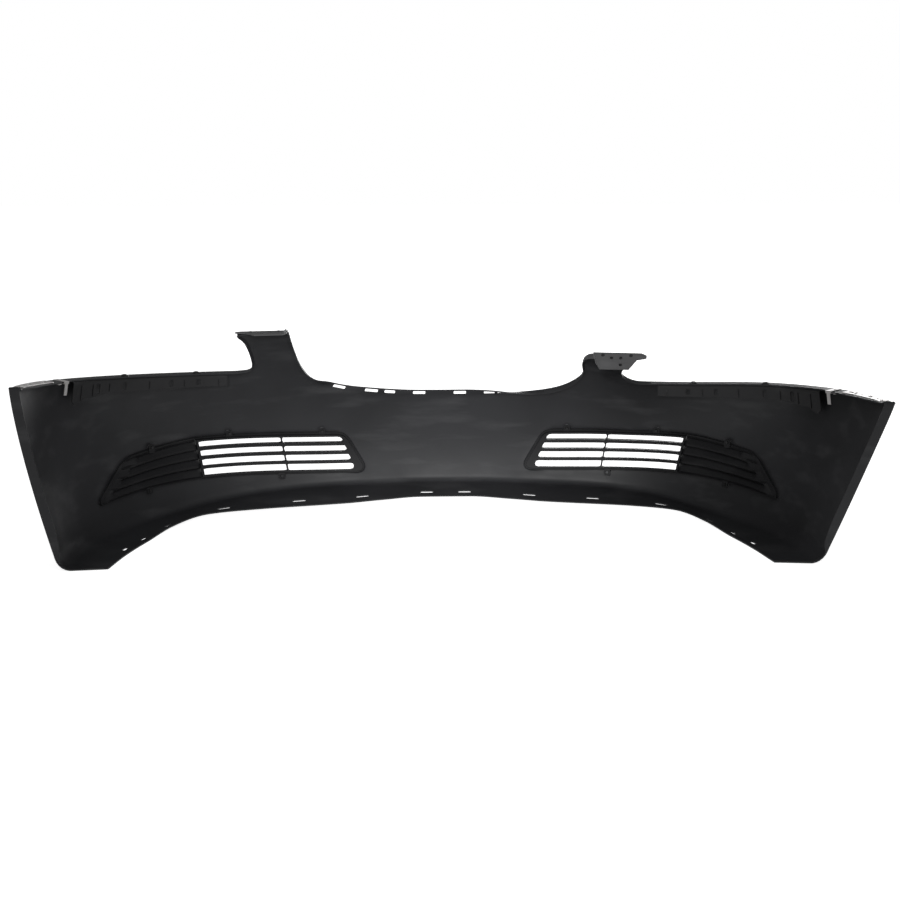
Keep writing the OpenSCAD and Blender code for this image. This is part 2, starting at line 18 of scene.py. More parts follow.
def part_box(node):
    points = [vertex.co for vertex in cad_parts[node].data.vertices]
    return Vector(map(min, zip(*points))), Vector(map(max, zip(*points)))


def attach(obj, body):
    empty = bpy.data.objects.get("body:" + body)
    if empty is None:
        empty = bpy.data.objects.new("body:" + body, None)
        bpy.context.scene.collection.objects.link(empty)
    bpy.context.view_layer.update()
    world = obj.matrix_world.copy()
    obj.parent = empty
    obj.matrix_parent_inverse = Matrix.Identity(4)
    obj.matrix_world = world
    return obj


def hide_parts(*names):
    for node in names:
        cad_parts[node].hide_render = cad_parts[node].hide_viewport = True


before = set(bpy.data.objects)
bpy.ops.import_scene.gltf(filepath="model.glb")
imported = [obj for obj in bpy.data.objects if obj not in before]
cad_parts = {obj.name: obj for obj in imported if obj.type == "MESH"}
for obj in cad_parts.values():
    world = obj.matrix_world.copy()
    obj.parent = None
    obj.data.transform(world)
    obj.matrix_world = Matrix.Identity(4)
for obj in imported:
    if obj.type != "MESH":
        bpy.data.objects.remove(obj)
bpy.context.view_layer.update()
ROOT = "cover"
MM = 0.001

# ---- Driving dimensions, as in the CAD part ----

skin_low, skin_high = (np.array(corner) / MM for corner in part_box("skin"))
HALF_WIDTH = round((skin_high[0] - skin_low[0]) / 2)
DEPTH = round(skin_high[1] - skin_low[1])
HORN_TOP = 456
WING_TOP = 420
WALL = 3.0
# The plan curve's power, and how far the wings draw in towards the bottom
POWER, WING_TUCK = 2.9, 70
# How the unsupported cover leans (degrees), twists, sags, sways and lifts
RIGHT_HORN_LEAN, RIGHT_HORN_TWIST, RIGHT_WING_SAG, SWAY = 40, 47, 44, 24
RIGHT_ROOT_SAG, RIGHT_FACE_LIFT, TWIST_START, TWIST_RISE = 14, 3, 325, 65
SLOT, SLAT, SLAT_DEPTH = 16, 7.4, 16
REAR = -DEPTH / 2
# Heights of the chin and of the face's foremost line, and how it rakes back above and below
CHIN_HEIGHT, WAIST, RAKE, UNDERCUT = 75, 130, 0.0019, 0.0015
TOP_SLOPE, ARCH_RAKE, HORN_BEND = 0.12, 110, 350
# How far round the chin turns, in degrees
CHIN_END = 84
# How far the lips on the shelf and horn tops lie below the skin's edge
EDGE_STEP = 0.85
# Radius at which every lip bends away from the skin
BEND = 4.0
# The middle strip of the front edge: degrees from the skin's inward way, and width
LIP_TILT, LIP_WIDTH = 82, 21
ARCH_LIP, HORN_LIP, TOP_LIP = 22, 13, 16
# Where along the wheel arch's edge its lip begins, as s
ARCH_LIP_START = 1.7
# How deep the rims of the grille openings are
RIM_DEPTH = 7.6
# A place inside the cover, which the inner sides of its sheets face
INSIDE = np.array([0, -150, 200])
SIDES = {-1: "left", 1: "right"}


def mix(a, b, t):
    return a + (b - a) * t


def clip(t):
    return np.clip(t, 0, 1)


def ease(t):
    c = clip(t)
    return c * c * (3 - 2 * c)


def unit(v):
    return v / np.linalg.norm(v, axis=-1, keepdims=True)


def sind(a):
    return np.sin(np.radians(a))


def cosd(a):
    return np.cos(np.radians(a))


def dot(a, b):
    return (a * b).sum(-1, keepdims=True)


def spline(points, steps):
    """A smooth curve through the points, with steps pieces between two of them."""
    p = np.array(points, float)
    q = np.vstack([p[:1], p, p[-1:]])
    t = (np.arange(steps) / steps)[:, None]
    out = []
    for a, b, c, d in zip(q, q[1:], q[2:], q[3:]):
        out.append(0.5 * (2 * b + (c - a) * t + (2 * a - 5 * b + 4 * c - d) * t**2
                          + (3 * b - a - 3 * c + d) * t**3))
    return np.vstack(out + [p[-1:]])


def lengths(points):
    """Length along a line up to each of its points."""
    return np.concatenate([[0], np.cumsum(np.linalg.norm(np.diff(points, axis=0), axis=1))])


def evenly(points, spacing):
    """The same line with points about spacing apart; its ends stay."""
    p = np.array(points, float)
    along = lengths(p)
    n = max(1, round(along[-1] / spacing))
    at = np.linspace(0, along[-1], n + 1)
    return np.stack([np.interp(at, along, p[:, k]) for k in range(p.shape[1])], 1)


def smoothly(t, knots, values):
    """Monotone cubic through (knots, values), so that it never overshoots them."""
    x, y = np.array(knots, float), np.array(values, float)
    h, d = np.diff(x), np.diff(y) / np.diff(x)
    m = np.zeros(len(x))
    both = d[:-1] * d[1:] > 0
    m[1:-1][both] = (2 * d[:-1] * d[1:] / (d[:-1] + d[1:] + 1e-12))[both]
    m[-1] = d[-1]
    i = np.clip(np.searchsorted(x, t, side="right") - 1, 0, len(h) - 1)
    s = (t - x[i]) / h[i]
    return ((1 + 2 * s) * (1 - s) ** 2 * y[i] + s * (1 - s) ** 2 * h[i] * m[i]
            + s * s * (3 - 2 * s) * y[i + 1] + s * s * (s - 1) * h[i] * m[i + 1])


# ---- The outer surface ----


def level_width(z):
    return HALF_WIDTH - WING_TUCK * (np.maximum(0, WING_TOP - z) / (WING_TOP - CHIN_HEIGHT)) ** 1.25


def level_nose(z):
    return DEPTH - np.where(z > WAIST, RAKE, UNDERCUT) * (z - WAIST) ** 2


def end_angle(z):
    y = ARCH_RAKE * (np.maximum(0, WING_TOP - z) / WING_TOP) ** 1.2
    return np.arctan2(level_width(z) * (1 - (y / level_nose(z)) ** POWER) ** (1 / POWER), y)


def settled(p):
    """The unsupported cover's lean, twist, sag and sway, as in the CAD part."""
    x, y, z = p[..., 0], p[..., 1], p[..., 2]
    right = x > 0
    rise = ease((z - HORN_BEND) / (HORN_TOP - HORN_BEND))
    beside = ease((560 - abs(x)) / 60) * right
    lean = rise * beside * RIGHT_HORN_LEAN
    twist = (ease((z - TWIST_START) / TWIST_RISE) * beside * RIGHT_HORN_TWIST
             * mix(0.57, 1, clip((x - 380) / 90)))
    height = np.maximum(0, z - HORN_BEND)
    side = ease((abs(x) - 400) / 320) * (1 - clip(z / WING_TOP))
    horn = rise * ease((560 - x) / 60)
    wing = ease((x - 330) / 150) * (RIGHT_WING_SAG + RIGHT_ROOT_SAG * ease((780 - x) / 250))
    lift = (RIGHT_FACE_LIFT * ease((x - 60) / 140) * ease((840 - x) / 120)
            * ease((z - 50) / 30) * ease((270 - z) / 90))
    sag = mix(wing, 0.3 * RIGHT_WING_SAG, horn) * (np.maximum(z, 0) / WING_TOP) ** 3.4 - lift
    return np.stack([
        x - twist - SWAY * side,
        y - height * sind(lean),
        np.minimum(z, HORN_BEND) + height * cosd(lean) - sag * right,
    ], -1)


def upright(u, z):
    u, z = np.broadcast_arrays(np.asarray(u, float), np.asarray(z, float))
    t = u * end_angle(z)
    c = np.maximum(np.cos(t), 0)
    r = ((abs(np.sin(t)) / level_width(z)) ** POWER + (c / level_nose(z)) ** POWER) ** (-1 / POWER)
    return np.stack([r * np.sin(t), r * np.cos(t) + REAR, z], -1)


def face(u, z):
    return settled(upright(u, z))


def plan_y(x, z):
    return level_nose(z) * np.maximum(0, 1 - (abs(x) / level_width(z)) ** POWER) ** (1 / POWER)


def front(x, z):
    x, z = np.broadcast_arrays(np.asarray(x, float), np.asarray(z, float))
    return settled(np.stack([x, REAR + plan_y(x, z), z], -1))


def u_at(x, z):
    return np.arctan2(x, plan_y(x, z)) / end_angle(z)


def inward(p):
    x, y, z = p[..., 0], p[..., 1] - REAR, p[..., 2]
    a, b = level_width(z), level_nose(z)
    return -unit(np.stack([np.sign(x) * (abs(x) / a) ** (POWER - 1) / a,
                           (np.maximum(y, 0) / b) ** (POWER - 1) / b, 0 * z], -1))


def shelf(u):
    return WING_TOP - TOP_SLOPE * (upright(u, 380)[..., 1] - REAR)


BELLY_ANGLE = (0, 5, 12, 19, 24, 34, 42, 50, 60, 74, 84, 90)
BELLY_X = (0, 62, 150, 240, 300, 440, 558, 622, 665, 700, 722, 724)
BELLY_Y = (252, 251, 232, 211, 204, 190, 168, 100, -20, -145, -250, -254)
BELLY_Z = (35, 35, 33, 30, 28, 23, 16, 6, 0, 0, 0, 0)


def belly(u):
    t = np.degrees(abs(u) * end_angle(np.float64(CHIN_HEIGHT)))
    x, y, z = (smoothly(t, BELLY_ANGLE, v) for v in (BELLY_X, BELLY_Y, BELLY_Z))
    return np.stack([np.sign(u) * x, y, z], -1)


def chin_radius(u):
    return mix(20, 40, ease((abs(u) - 0.35) / 0.45))


def belly_rise(u):
    return mix(13, 0, ease((abs(u) - 0.3) / 0.4))


def wall_slope(u, z):
    p = upright(u, z)
    return np.degrees(np.arctan(-((upright(u, z + 4) - p) * inward(p)).sum(-1) / 4))


def chin_start(u):
    return belly(u)[..., 2] + belly_rise(u) + chin_radius(u) * (
        sind(CHIN_END) - sind(wall_slope(u, np.float64(CHIN_HEIGHT))))


def chin(u, k):
    z, r = chin_start(u), chin_radius(u)
    p = upright(u, z)
    start = wall_slope(u, z)
    a = mix(start, CHIN_END, k)
    q = p + (r * (cosd(start) - cosd(a)))[..., None] * inward(p)
    q[..., 2] = z - r * (sind(a) - sind(start))
    flat = belly(u)[..., 2] + belly_rise(u)
    q[..., 2] += ease(k) * (flat - (z - r * (sind(CHIN_END) - sind(start))))
    return q


def skin_point(u, s):
    """A point of the skin: s runs 0-1 over the underside from its inner edge, 1-2 round the
    chin, 2-3 up the face to the shelf, and 3-4 up to the height of the horns' tops."""
    u, s = np.broadcast_arrays(np.asarray(u, float), np.asarray(s, float))
    low, top = chin_start(u), shelf(u)
    under = settled(mix(belly(u), chin(u, np.ones_like(u)), np.clip(s, -0.2, 1)[..., None]))
    arc = settled(chin(u, 1 - clip(s - 1)))
    z = np.where(s < 3, mix(low, top, s - 2), mix(top, HORN_TOP, s - 3))
    wall = face(u, z)
    return np.where((s < 1)[..., None], under, np.where((s < 2)[..., None], arc, wall))


def skin_s(u, z):
    low, top = chin_start(u), shelf(u)
    return np.where(z < top, 2 + (z - low) / (top - low), 3 + (z - top) / (HORN_TOP - top))


def skin_frame(u, s):
    """Inward normal and the two surface derivatives at (u, s)."""
    du, ds = 0.0015, 0.004
    v = np.clip(u, -1 + du, 1 - du)
    a = (skin_point(v + du, s) - skin_point(v - du, s)) / (2 * du)
    b = (skin_point(v, s + ds) - skin_point(v, s - ds)) / (2 * ds)
    return unit(np.cross(a, b)), a, b


def dipping(n, angle):
    h = unit(n * np.array([1, 1, 0]))
    return np.stack([cosd(angle) * h[..., 0], cosd(angle) * h[..., 1],
                     -sind(angle) + 0 * h[..., 0]], -1)


def front_normal(x, z):
    return unit(np.cross(front(x + 1, z) - front(x - 1, z), front(x, z + 1) - front(x, z - 1)))


def face_normal(u, z):
    v = u * 0.997
    return unit(np.cross(face(v + 0.002, z) - face(v - 0.002, z), face(v, z + 1) - face(v, z - 1)))


def shelf_normal(u):
    return dipping(face_normal(u, shelf(u)), 6)


def horn_normal(x):
    return dipping(front_normal(x, HORN_TOP), np.where(x < 0, 3, RIGHT_HORN_LEAN + 10))


# ---- Outlines, as x and height in the front view of the right half ----

GRILLE_EDGE = [(0, 273), (90, 274), (170, 280), (245, 290), (292, 305), (326, 331), (347, 370),
               (359, 415), (367, HORN_TOP)]
HORN_FOOT = 478
HORN_SIDE = [(HORN_FOOT, float(WING_TOP - TOP_SLOPE * plan_y(HORN_FOOT, 380))), (462, 356),
             (454, 370), (455, 392), (461, 420), (469, 440), (484, HORN_TOP)]
PITCH = SLOT + SLAT
GRILLE_LOW = 84
GRILLE_HIGH = GRILLE_LOW + 4 * SLOT + 3 * SLAT
FRAME, FIT_GAP, HALF_RIB = 5, 1, 1.5


def level(z):
    return (z - GRILLE_LOW) / (GRILLE_HIGH - GRILLE_LOW)


def droop(x, z):
    x = abs(x)
    return (-6 * ease((x - 250) / 300) + 16 * (np.maximum(0, x - 575) / 210) ** 1.6
            + 14 * level(z) * clip((x - 590) / 150) ** 1.3)


def grille_inner(z):
    return mix(220, 254, level(z))


def grille_split(z):
    return mix(575, 590, level(z))


def grille_rib(z):
    return mix(385, 401, level(z))


def outer_end(z):
    return mix(782, 744, level(z))


def drooped(points):
    p = np.array(points, float)
    return np.stack([p[:, 0], p[:, 1] - droop(p[:, 0], p[:, 1])], 1)


def opening_edge():
    """The hole in the skin around a lower grille and its blank, before it droops."""
    low, high = GRILLE_LOW - FRAME - FIT_GAP, GRILLE_HIGH + FRAME + FIT_GAP
    x_low, x_high = outer_end(low) + FIT_GAP, outer_end(high) + FIT_GAP
    bottom = [(x, low) for x in np.linspace(226, x_low - 6, 12)]
    top = [(x, high) for x in np.linspace(x_high - 8, 272, 10)]
    inner = spline([(260, high - 0.5), (246, high - 5), (236, high - 16), (222, high - 42),
                    (203, low + 22), (199.5, low + 11), (203, low + 3.5), (212, low + 0.3)], 4)
    outer = spline([(x_low - 2, low + 0.6), (x_low + 0.4, low + 4)], 2)
    tip = spline([(x_high + 1.4, high - 5), (x_high - 2, high - 0.8)], 2)
    return np.vstack([bottom, outer, tip, top, inner])


def panel_edge(outboard):
    """The edge of what fills the opening, inboard or outboard of the split between them."""
    loop = opening_edge()
    loop = evenly(np.vstack([loop, loop[:1]]), 5)[:-1]
    t = unit(np.roll(loop, -1, 0) - np.roll(loop, 1, 0))
    loop = loop + 1.1 * np.stack([-t[:, 1], t[:, 0]], 1)
    low, high = GRILLE_LOW - FRAME, GRILLE_HIGH + FRAME
    split = grille_split(loop[:, 1]) + FRAME
    if outboard:
        part = loop[loop[:, 0] > split + 3]
        ends = [(grille_split(low) + FRAME + 0.8, low), (grille_split(high) + FRAME + 0.8, high)]
    else:
        first = int(np.argmax(loop[:, 0]))
        loop, split = np.roll(loop, -first, 0), np.roll(split, -first)
        part = loop[loop[:, 0] < split - 2]
        ends = [(grille_split(high) + FRAME, high), (grille_split(low) + FRAME, low)]
    return np.vstack([ends[:1], part, ends[1:]])


# ---- Meshes ----


def triangulated(loops, spacing, margin=0.55):
    """Points and triangles of the flat region inside the first loop and outside the others,
    filled with an even triangular grid of points."""
    loops = [np.array(loop, float) for loop in loops]
    low, high = loops[0].min(0), loops[0].max(0)
    rows = np.arange(low[1], high[1] + spacing, spacing * 0.866)
    grid = np.array([(x + (j % 2) * spacing / 2, y) for j, y in enumerate(rows)
                     for x in np.arange(low[0], high[0] + spacing, spacing)])

    def within(points, loop):
        hit = np.zeros(len(points), bool)
        for a, b in zip(loop, np.roll(loop, -1, 0)):
            crossed = (a[1] > points[:, 1]) != (b[1] > points[:, 1])
            at = a[0] + (points[:, 1] - a[1]) * (b[0] - a[0]) / (b[1] - a[1] + 1e-15)
            hit ^= crossed & (points[:, 0] < at)
        return hit

    def inside(points):
        ok = within(points, loops[0])
        for loop in loops[1:]:
            ok &= ~within(points, loop)
        return ok

    def clear(points):
        near = np.full(len(points), 1e9)
        for loop in loops:
            for a, b in zip(loop, np.roll(loop, -1, 0)):
                ab = b - a
                t = clip(((points - a) @ ab) / (ab @ ab + 1e-12))
                near = np.minimum(near, np.linalg.norm(points - a - t[:, None] * ab, axis=1))
        return near > margin * spacing

    grid = grid[inside(grid)]
    grid = grid[clear(grid)]
    verts, edges = [], []
    for loop in loops:
        n = len(verts)
        verts += list(loop)
        edges += [(n + i, n + (i + 1) % len(loop)) for i in range(len(loop))]
    verts = [Vector(v) for v in verts] + [Vector(v) for v in grid]
    v, _, f, origin, _, _ = delaunay_2d_cdt(verts, edges, [], 0, 1e-7)
    points = np.array([tuple(p) for p in v])
    tris = np.array([t for t in f if len(t) == 3])
    tris = tris[inside(points[tris].mean(1))]
    # Back to the given order, so that neighbouring patches share their border points
    order = np.array([old[0] if old else len(verts) + i for i, old in enumerate(origin)])
    return np.vstack([np.array([tuple(p) for p in verts]), points]), order[tris]


class Sheet:
    """A sheet of triangles in millimetres, gathered from patches and then made a solid."""

    def __init__(self):
        self.points, self.faces, self.count = [], [], 0

    def add(self, points, faces):
        self.points.append(np.asarray(points, float))
        self.faces += [tuple(int(i) + self.count for i in f) for f in faces]
        self.count += len(points)

    def solid(self, name, thickness, facing, join=1e-3):
        """One side is the sheet, the other the sheet moved by thickness along its normals,
        which are turned to agree with the direction that facing gives at each place."""
        bm = bmesh.new()
        verts = [bm.verts.new(p) for p in np.vstack(self.points)]
        for f in self.faces:
            if len(set(f)) == len(f):
                try:
                    bm.faces.new([verts[i] for i in f])
                except ValueError:
                    pass
        bmesh.ops.delete(bm, geom=[v for v in bm.verts if not v.link_faces], context="VERTS")
        bmesh.ops.remove_doubles(bm, verts=bm.verts, dist=join)
        bmesh.ops.dissolve_degenerate(bm, edges=bm.edges, dist=join)
        bm.normal_update()
        agreement = sum(f.normal.dot(Vector(facing(np.array(f.calc_center_median()))))
                        for f in bm.faces)
        if agreement < 0:
            bmesh.ops.reverse_faces(bm, faces=bm.faces)
            bm.normal_update()
        return shell(bm, name, thickness)


def to_inside(p):
    return INSIDE - p


def shell(bm, name, thickness):
    """Closes an open sheet into a solid with its copy along its vertex normals."""
    bm.verts.index_update()
    p = np.array([v.co for v in bm.verts])
    n = np.array([v.normal for v in bm.verts])
    tris = [[v.index for v in f.verts] for f in bm.faces]
    rims = [[v.index for v in e.verts] for e in bm.edges if len(e.link_faces) == 1]
    wound = {edge for f in tris for edge in zip(f, f[1:] + f[:1])}
    bm.free()
    count = len(p)
    faces = [f[::-1] for f in tris] + [[i + count for i in f] for f in tris]
    for a, b in rims:
        if (a, b) not in wound:
            a, b = b, a
        faces.append([a, b, b + count, a + count])
    return mesh_object(name, np.vstack([p, p + n * thickness]), faces)


SHARP = math.radians(50)


def mesh_object(name, points, faces):
    mesh = bpy.data.meshes.new(name)
    mesh.from_pydata((np.asarray(points) * MM).tolist(), [], [list(map(int, f)) for f in faces])
    mesh.validate()
    obj = bpy.data.objects.new(name, mesh)
    bpy.context.scene.collection.objects.link(obj)
    return obj


def strip_faces(rows, count, closed=False):
    """Quads between rows of count points each; closed rows run round."""
    return [[j * count + i, j * count + (i + 1) % count, (j + 1) * count + (i + 1) % count,
             (j + 1) * count + i] for j in range(rows - 1) for i in range(count if closed else count - 1)]


def add_bevel(obj, width, angle):
    """A small bevel (mm) on the edges that turn by more than angle."""
    m = obj.modifiers.new("edges", "BEVEL")
    m.width, m.segments = width * MM, 2
    m.limit_method, m.angle_limit = "ANGLE", math.radians(angle)
    m.harden_normals = True


def finished(obj, material, bevel, angle=35):
    """Smooth shading with sharp edges, small bevels, and a material."""
    mesh = obj.data
    bm = bmesh.new()
    bm.from_mesh(mesh)
    bmesh.ops.recalc_face_normals(bm, faces=bm.faces)
    for f in bm.faces:
        f.smooth = True
    for e in bm.edges:
        e.smooth = not (len(e.link_faces) == 2 and e.calc_face_angle(0) > SHARP)
    bm.to_mesh(mesh)
    bm.free()
    if bevel:
        add_bevel(obj, bevel, angle)
    mesh.materials.clear()
    mesh.materials.append(material)
    return obj


def joined(name, objects):
    """Several objects made one."""
    points, faces, count = [], [], 0
    for o in objects:
        v = np.array([tuple(p.co) for p in o.data.vertices]) / MM
        faces += [[i + count for i in f.vertices] for f in o.data.polygons]
        points.append(v)
        count += len(v)
        bpy.data.objects.remove(o)
    return mesh_object(name, np.vstack(points), faces)


def placed(obj, origin, x, z):
    """Bakes a place into an object's mesh: its X along x, its Z as near z as is square to it."""
    a = unit(np.asarray(x, float))
    b = unit(np.cross(z, a))
    c = np.cross(a, b)
    m = np.eye(4)
    m[:3] = np.stack([a, b, c, origin * MM], 1)
    obj.data.transform(Matrix(m))
    return obj


def rounded(points, radii, steps=5):
    """A polygon with its corners rounded."""
    p = np.array(points, float)
    radii = radii if hasattr(radii, "__len__") else [radii] * len(p)
    out = []
    for i, r in enumerate(radii):
        a, b, c = p[i - 1], p[i], p[(i + 1) % len(p)]
        u, v = unit(a - b), unit(c - b)
        half = math.acos(np.clip(u @ v, -1, 1)) / 2
        cut = min(r / math.tan(half), 0.49 * np.linalg.norm(a - b), 0.49 * np.linalg.norm(c - b))
        r = cut * math.tan(half)
        centre = b + unit(u + v) * r / math.sin(half)
        s, e = b + u * cut - centre, b + v * cut - centre
        turn = math.atan2(s[0] * e[1] - s[1] * e[0], s @ e)
        for k in range(steps + 1):
            t = turn * k / steps
            out.append(centre + (s[0] * math.cos(t) - s[1] * math.sin(t),
                                 s[0] * math.sin(t) + s[1] * math.cos(t)))
    return np.array(out)


def stadium(centre, length, width, steps):
    x, y = centre
    a, b = length / 2, width / 2
    return rounded([(x - a, y - b), (x + a, y - b), (x + a, y + b), (x - a, y + b)], b * 0.999, steps)


def circle(centre, r, n):
    t = np.arange(n) * 2 * np.pi / n
    return np.stack([centre[0] + r * np.cos(t), centre[1] + r * np.sin(t)], 1)


def plate(name, outline, holes, thickness, spacing):
    """A flat plate with holes, from z = 0 up."""
    outline = evenly(np.vstack([outline, outline[:1]]), spacing)[:-1]
    points, tris = triangulated([outline] + holes, spacing)
    s = Sheet()
    s.add(np.hstack([points, np.zeros((len(points), 1))]), tris)
    return s.solid(name, thickness, lambda p: (0, 0, 1))


def lathe(name, profile, steps=28):
    """A closed solid of revolution about Z from a profile of (radius, z)."""
    t = np.arange(steps) * 2 * np.pi / steps
    rings = [np.stack([r * np.cos(t), r * np.sin(t), 0 * t + z], 1) for r, z in profile]
    faces = strip_faces(len(profile), steps, closed=True)
    faces += [list(range(steps))[::-1], [(len(profile) - 1) * steps + i for i in range(steps)]]
    return mesh_object(name, np.vstack(rings), faces)


# ---- Materials ----


def plastic(name, colour, rough, mottle=0.25, grain=0.25, scale=900, scuffs=0.35, specular=0.5):
    """Moulded plastic: slow tone changes, fine grain, and paler dry scuffs along it."""
    m = bpy.data.materials.new(name)
    m.use_nodes = True
    t = m.node_tree
    t.nodes.clear()
    add = t.nodes.new
    link = t.links.new
    out, shader = add("ShaderNodeOutputMaterial"), add("ShaderNodeBsdfPrincipled")
    where = add("ShaderNodeTexCoord")

    def noise(size, detail=4.0, stretch=(1, 1, 1)):
        mapping, tex = add("ShaderNodeMapping"), add("ShaderNodeTexNoise")
        mapping.inputs["Scale"].default_value = stretch
        tex.inputs["Scale"].default_value = size
        tex.inputs["Detail"].default_value = detail
        link(where.outputs["Object"], mapping.inputs["Vector"])
        link(mapping.outputs["Vector"], tex.inputs["Vector"])
        return tex.outputs["Fac"]

    def ramp(value, low, high, a, b):
        r = add("ShaderNodeMapRange")
        r.inputs["From Min"].default_value, r.inputs["From Max"].default_value = low, high
        r.inputs["To Min"].default_value, r.inputs["To Max"].default_value = a, b
        link(value, r.inputs["Value"])
        return r.outputs["Result"]

    def blend(fac, a, b):
        c = add("ShaderNodeMix")
        c.data_type = "RGBA"
        c.inputs["A"].default_value = (*a, 1)
        c.inputs["B"].default_value = (*b, 1)
        link(fac, c.inputs["Factor"])
        return c

    base = blend(ramp(noise(3.2, 3), 0.35, 0.65, 0, 1), [c * (1 - mottle) for c in colour],
                 [c * (1 + mottle) for c in colour])
    dust = blend(ramp(noise(11, 8, (0.5, 1, 2.5)), 0.52, 0.75, 0, scuffs), colour,
                 [0.05 + 1.4 * c for c in colour])
    link(base.outputs["Result"], dust.inputs["A"])
    link(dust.outputs["Result"], shader.inputs["Base Color"])
    link(ramp(noise(7, 6), 0.3, 0.7, rough - 0.05, rough + 0.07), shader.inputs["Roughness"])
    shader.inputs["Specular IOR Level"].default_value = specular
    bump = add("ShaderNodeBump")
    bump.inputs["Strength"].default_value = grain
    bump.inputs["Distance"].default_value = 0.0002
    link(noise(scale, 2), bump.inputs["Height"])
    wave = add("ShaderNodeBump")
    wave.inputs["Strength"].default_value = 0.2
    wave.inputs["Distance"].default_value = 0.0015
    link(noise(5, 1), wave.inputs["Height"])
    link(wave.outputs["Normal"], bump.inputs["Normal"])
    link(bump.outputs["Normal"], shader.inputs["Normal"])
    link(shader.outputs["BSDF"], out.inputs["Surface"])
    return m


def principled(material):
    return next(n for n in material.node_tree.nodes if n.type == "BSDF_PRINCIPLED")


def zinc(name, colour, rough):
    """Zinc-plated pressed steel: small spangle and dull patches."""
    m = plastic(name, colour, rough, mottle=0.12, grain=0.12, scale=260, scuffs=0.0)
    principled(m).inputs["Metallic"].default_value = 0.85
    return m


SKIN = plastic("skin_plastic", (0.0185, 0.0188, 0.0206), 0.5, specular=0.28)
GRILLE = plastic("grille_plastic", (0.0095, 0.0095, 0.0105), 0.52, grain=0.4, scale=700, scuffs=0.15,
                 specular=0.2)
BRACKET = plastic("bracket_plastic", (0.013, 0.013, 0.014), 0.48, scuffs=0.2, specular=0.25)
PLATE = plastic("plate_plastic", (0.06, 0.06, 0.062), 0.42, scuffs=0.3, specular=0.4)
RETAINER = plastic("retainer_plastic", (0.01, 0.01, 0.01), 0.4, scuffs=0.15, specular=0.3)
ZINC = zinc("zinc_steel", (0.72, 0.7, 0.69), 0.38)
BLACKED = zinc("blacked_steel", (0.03, 0.03, 0.031), 0.42)


# ---- The skin ----

# The skin is cut flat: u times U_SCALE along, and s by these places across, in millimetres
U_SCALE = 1450
S_KNOTS = np.array([-1, 0, 1, 2, 3, 4, 5], float)
S_PLACES = np.array([-70, 0, 75, 135, 405, 505, 605], float)


def to_flat(u, s):
    return np.stack([u * U_SCALE, np.interp(s, S_KNOTS, S_PLACES)], -1)


def from_flat(p):
    return p[..., 0] / U_SCALE, np.interp(p[..., 1], S_PLACES, S_KNOTS)


def edge_points(side, points):
    """(u, s) of points given as x and height in the front view."""
    p = np.array(points, float)
    u = u_at(side * p[:, 0], p[:, 1])
    return np.stack([u, skin_s(u, p[:, 1])], 1)


def run(us, spacing):
    """An edge of the skin as (u, s), respaced evenly in space."""
    fine = evenly(us, 0.002)
    along = lengths(skin_point(fine[:, 0], fine[:, 1]))
    at = np.linspace(0, along[-1], max(2, round(along[-1] / spacing)) + 1)
    return np.stack([np.interp(at, along, fine[:, k]) for k in range(2)], 1)


def smooth_along(values, passes):
    """Values along a closed edge, evened out."""
    v = np.array(values, float)
    for _ in range(passes):
        v = 0.25 * np.roll(v, 1, 0) + 0.5 * v + 0.25 * np.roll(v, -1, 0)
    return v


U_FOOT = float(u_at(np.float64(HORN_FOOT), np.float64(380)))
SHELF_STEPS = 26


def shelf_u(k):
    """u at a station of the shelf: 0 at the horn's foot, SHELF_STEPS at the wing's end."""
    return mix(U_FOOT, 1, np.asarray(k, float) / SHELF_STEPS)


def shelf_width(u):
    """The shelf's lip widens over the wing and narrows again at its end."""
    k = (abs(u) - U_FOOT) / (1 - U_FOOT) * SHELF_STEPS
    return mix(24, 36, ease((k - 15) / 3)) - 10 * ease((k - 22) / 4)


def skin_edges(spacing):
    """The skin's whole outline as runs of (name, points), anticlockwise from the left end of
    the underside's inner edge. Points are (u, s)."""
    right = [
        ("arch", [(1, 0), (1, 1), (1, 2), (1, 3)]),
        ("shelf", [(u, 3) for u in np.linspace(1, U_FOOT, 60)]),
        ("horn", edge_points(1, spline(HORN_SIDE, 6))),
        ("top", edge_points(1, [(484 - 117 * k / 12, HORN_TOP) for k in range(13)])),
        ("grille", edge_points(1, spline(GRILLE_EDGE, 8)[::-1])),
    ]
    runs = [("belly", [(u, 0) for u in np.linspace(-1, 1, 240)])]
    runs += right
    runs += [(name, [(-u, s) for u, s in reversed(list(points))]) for name, points in right[::-1]]
    return [(name, run(points, spacing)[:-1]) for name, points in runs]


def lip_plan(name, u, s, p, n, b):
    """Which way the lip of an edge goes, and how far: u, s and p are its points, n and b their
    inward normals and the ways out of the skin."""
    width = np.zeros(len(u))
    way = n.copy()
    if name == "arch":
        width = ARCH_LIP * ease((s - ARCH_LIP_START) / 0.5)
    elif name == "shelf":
        way, width = shelf_normal(u), shelf_width(u)
    elif name == "horn":
        way, width = n * cosd(30) + b * sind(30), np.full(len(u), float(HORN_LIP))
    elif name == "top":
        way, width = horn_normal(p[:, 0]), np.full(len(u), float(TOP_LIP))
    elif name == "grille":
        middle = ease((350 - abs(p[:, 0])) / 70)
        # Towards the right end the unsupported strip leans over, away from the face
        tilt = mix(4, LIP_TILT, middle * ease((250 - p[:, 0]) / 200))[:, None]
        way, width = n * cosd(tilt) + b * sind(tilt), mix(HORN_LIP, LIP_WIDTH, middle)
    return way, width


def edge_frame(loop):
    """Points of a closed edge with their normals and outward ways."""
    n, _, _ = skin_frame(loop[:, 0], loop[:, 1])
    p = skin_point(loop[:, 0], loop[:, 1])
    t = np.roll(p, -1, 0) - np.roll(p, 1, 0)
    return p, n, unit(np.cross(unit(t), unit(n)))


